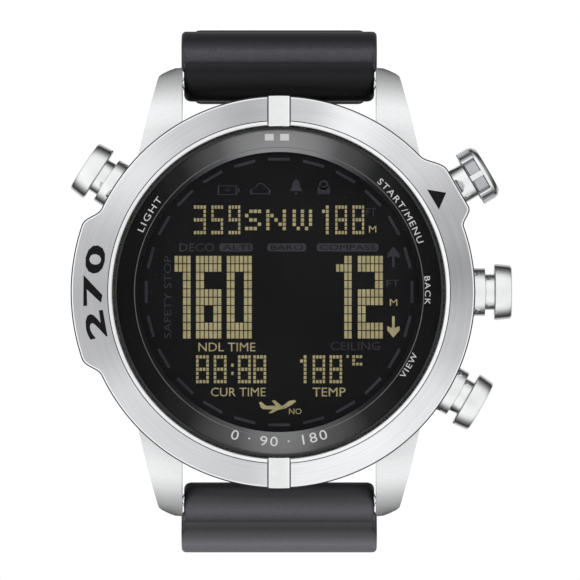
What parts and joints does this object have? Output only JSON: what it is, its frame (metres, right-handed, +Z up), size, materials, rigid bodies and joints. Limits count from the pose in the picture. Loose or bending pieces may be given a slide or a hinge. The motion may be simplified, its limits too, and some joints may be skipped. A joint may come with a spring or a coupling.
{
  "type": "dive computer",
  "caption": "Wrist-worn dive computer with a round steel case, side pushers, a knurled button, a dark digital display and an open strap with a pin buckle.",
  "frame": {"origin": "centre of the caseback's outer face", "axes": "+X to 3 o'clock, +Y out of the back of the case into the wrist, +Z up to 12 o'clock; the dial faces -Y"},
  "size_m": [0.0546, 0.1313, 0.0664],
  "materials": {
    "brushed_steel": "brushed stainless steel",
    "polished_steel": "polished stainless steel",
    "spring_steel": "spring wire",
    "strap_silicone": "fine-grained moulded silicone",
    "seal_rubber": "smooth rubber",
    "crystal_glass": "polished mineral glass",
    "black_plastic": "matt black moulding",
    "display_glass": "dark display cell",
    "light_guide": "milky light guide",
    "circuit_board": "green solder mask",
    "chip_plastic": "moulded chip body",
    "battery_steel": "nickel-plated steel",
    "brass": "plain brass"
  },
  "bodies": {
    "case": {"case_body": "brushed_steel", "bezel": "brushed_steel", "crystal": "crystal_glass", "crystal_gasket": "seal_rubber", "dial_ring": "black_plastic", "lcd_panel": "display_glass", "backlight_panel": "light_guide", "zebra_strip_upper": "seal_rubber", "zebra_strip_lower": "seal_rubber", "module_frame": "black_plastic", "main_board": "circuit_board", "processor_chip": "chip_plastic", "compass_sensor": "chip_plastic", "battery": "battery_steel", "battery_clip": "brass", "piezo_buzzer": "brass", "pressure_sensor": "battery_steel", "pressure_sensor_seal": "seal_rubber", "caseback": "brushed_steel", "caseback_gasket": "seal_rubber", "caseback_screw_1": "polished_steel", "caseback_screw_2": "polished_steel", "caseback_screw_3": "polished_steel", "caseback_screw_4": "polished_steel", "light_tube": "brushed_steel", "light_spring": "spring_steel", "light_seal": "seal_rubber", "start_tube": "brushed_steel", "start_spring": "spring_steel", "start_seal": "seal_rubber", "back_tube": "brushed_steel", "back_spring": "spring_steel", "back_seal": "seal_rubber", "view_tube": "brushed_steel", "view_spring": "spring_steel", "view_seal": "seal_rubber", "spring_bar_upper": "polished_steel", "spring_bar_lower": "polished_steel"},
    "light_pusher": {"light_button": "polished_steel", "light_clip": "spring_steel"},
    "start_pusher": {"start_button": "polished_steel", "start_clip": "spring_steel"},
    "back_pusher": {"back_button": "polished_steel", "back_clip": "spring_steel"},
    "view_pusher": {"view_button": "polished_steel", "view_clip": "spring_steel"},
    "bar_tip_upper_right": {"bar_tip_upper_right": "polished_steel"},
    "bar_tip_upper_left": {"bar_tip_upper_left": "polished_steel"},
    "bar_tip_lower_right": {"bar_tip_lower_right": "polished_steel"},
    "bar_tip_lower_left": {"bar_tip_lower_left": "polished_steel"},
    "upper_strap": {"strap_upper": "strap_silicone", "keeper_fixed": "strap_silicone"},
    "lower_strap": {"strap_lower": "strap_silicone"},
    "buckle": {"buckle_frame": "polished_steel", "buckle_bar": "polished_steel"},
    "tongue": {"buckle_tongue": "polished_steel"},
    "sliding_keeper": {"keeper_sliding": "strap_silicone"}
  },
  "joints": [
    {"name": "light_press", "type": "slide", "parent": "case", "child": "light_pusher", "axis": [0.8387, 0, -0.5446], "range_m": [0, 0.001], "stiffness_N_per_m": 1500, "springref_m": -0.001, "deforming": ["light_spring"]},
    {"name": "start_press", "type": "slide", "parent": "case", "child": "start_pusher", "axis": [-0.8616, 0, -0.5075], "range_m": [0, 0.001], "stiffness_N_per_m": 1500, "springref_m": -0.001, "deforming": ["start_spring"]},
    {"name": "back_press", "type": "slide", "parent": "case", "child": "back_pusher", "axis": [-1, 0, 0], "range_m": [0, 0.001], "stiffness_N_per_m": 1500, "springref_m": -0.001, "deforming": ["back_spring"]},
    {"name": "view_press", "type": "slide", "parent": "case", "child": "view_pusher", "axis": [-0.8686, 0, 0.4955], "range_m": [0, 0.001], "stiffness_N_per_m": 1500, "springref_m": -0.001, "deforming": ["view_spring"]},
    {"name": "upper_strap_swing", "type": "hinge", "parent": "case", "child": "upper_strap", "pos_m": [0, -0.004, 0.0259], "axis": [-1, 0, 0], "range_deg": [-60, 15]},
    {"name": "lower_strap_swing", "type": "hinge", "parent": "case", "child": "lower_strap", "pos_m": [0, -0.004, -0.0259], "axis": [-1, 0, 0], "range_deg": [-10, 60]},
    {"name": "buckle_swing", "type": "hinge", "parent": "upper_strap", "child": "buckle", "pos_m": [0, 0.07148, 0.02741], "axis": [1, 0, 0], "range_deg": [-50, 40]},
    {"name": "tongue_lift", "type": "hinge", "parent": "buckle", "child": "tongue", "pos_m": [0, 0.07148, 0.02741], "axis": [1, 0, 0], "range_deg": [0, 90]},
    {"name": "keeper_slide", "type": "slide", "parent": "upper_strap", "child": "sliding_keeper", "axis": [0, 1, 0], "range_m": [-0.005, 0.0085]},
    {"name": "bar_tip_upper_right_retract", "type": "slide", "parent": "case", "child": "bar_tip_upper_right", "axis": [-1, 0, 0], "range_m": [0, 0.0012], "stiffness_N_per_m": 1200, "springref_m": -0.0015},
    {"name": "bar_tip_upper_left_retract", "type": "slide", "parent": "case", "child": "bar_tip_upper_left", "axis": [1, 0, 0], "range_m": [0, 0.0012], "stiffness_N_per_m": 1200, "springref_m": -0.0015},
    {"name": "bar_tip_lower_right_retract", "type": "slide", "parent": "case", "child": "bar_tip_lower_right", "axis": [-1, 0, 0], "range_m": [0, 0.0012], "stiffness_N_per_m": 1200, "springref_m": -0.0015},
    {"name": "bar_tip_lower_left_retract", "type": "slide", "parent": "case", "child": "bar_tip_lower_left", "axis": [1, 0, 0], "range_m": [0, 0.0012], "stiffness_N_per_m": 1200, "springref_m": -0.0015}
  ]
}
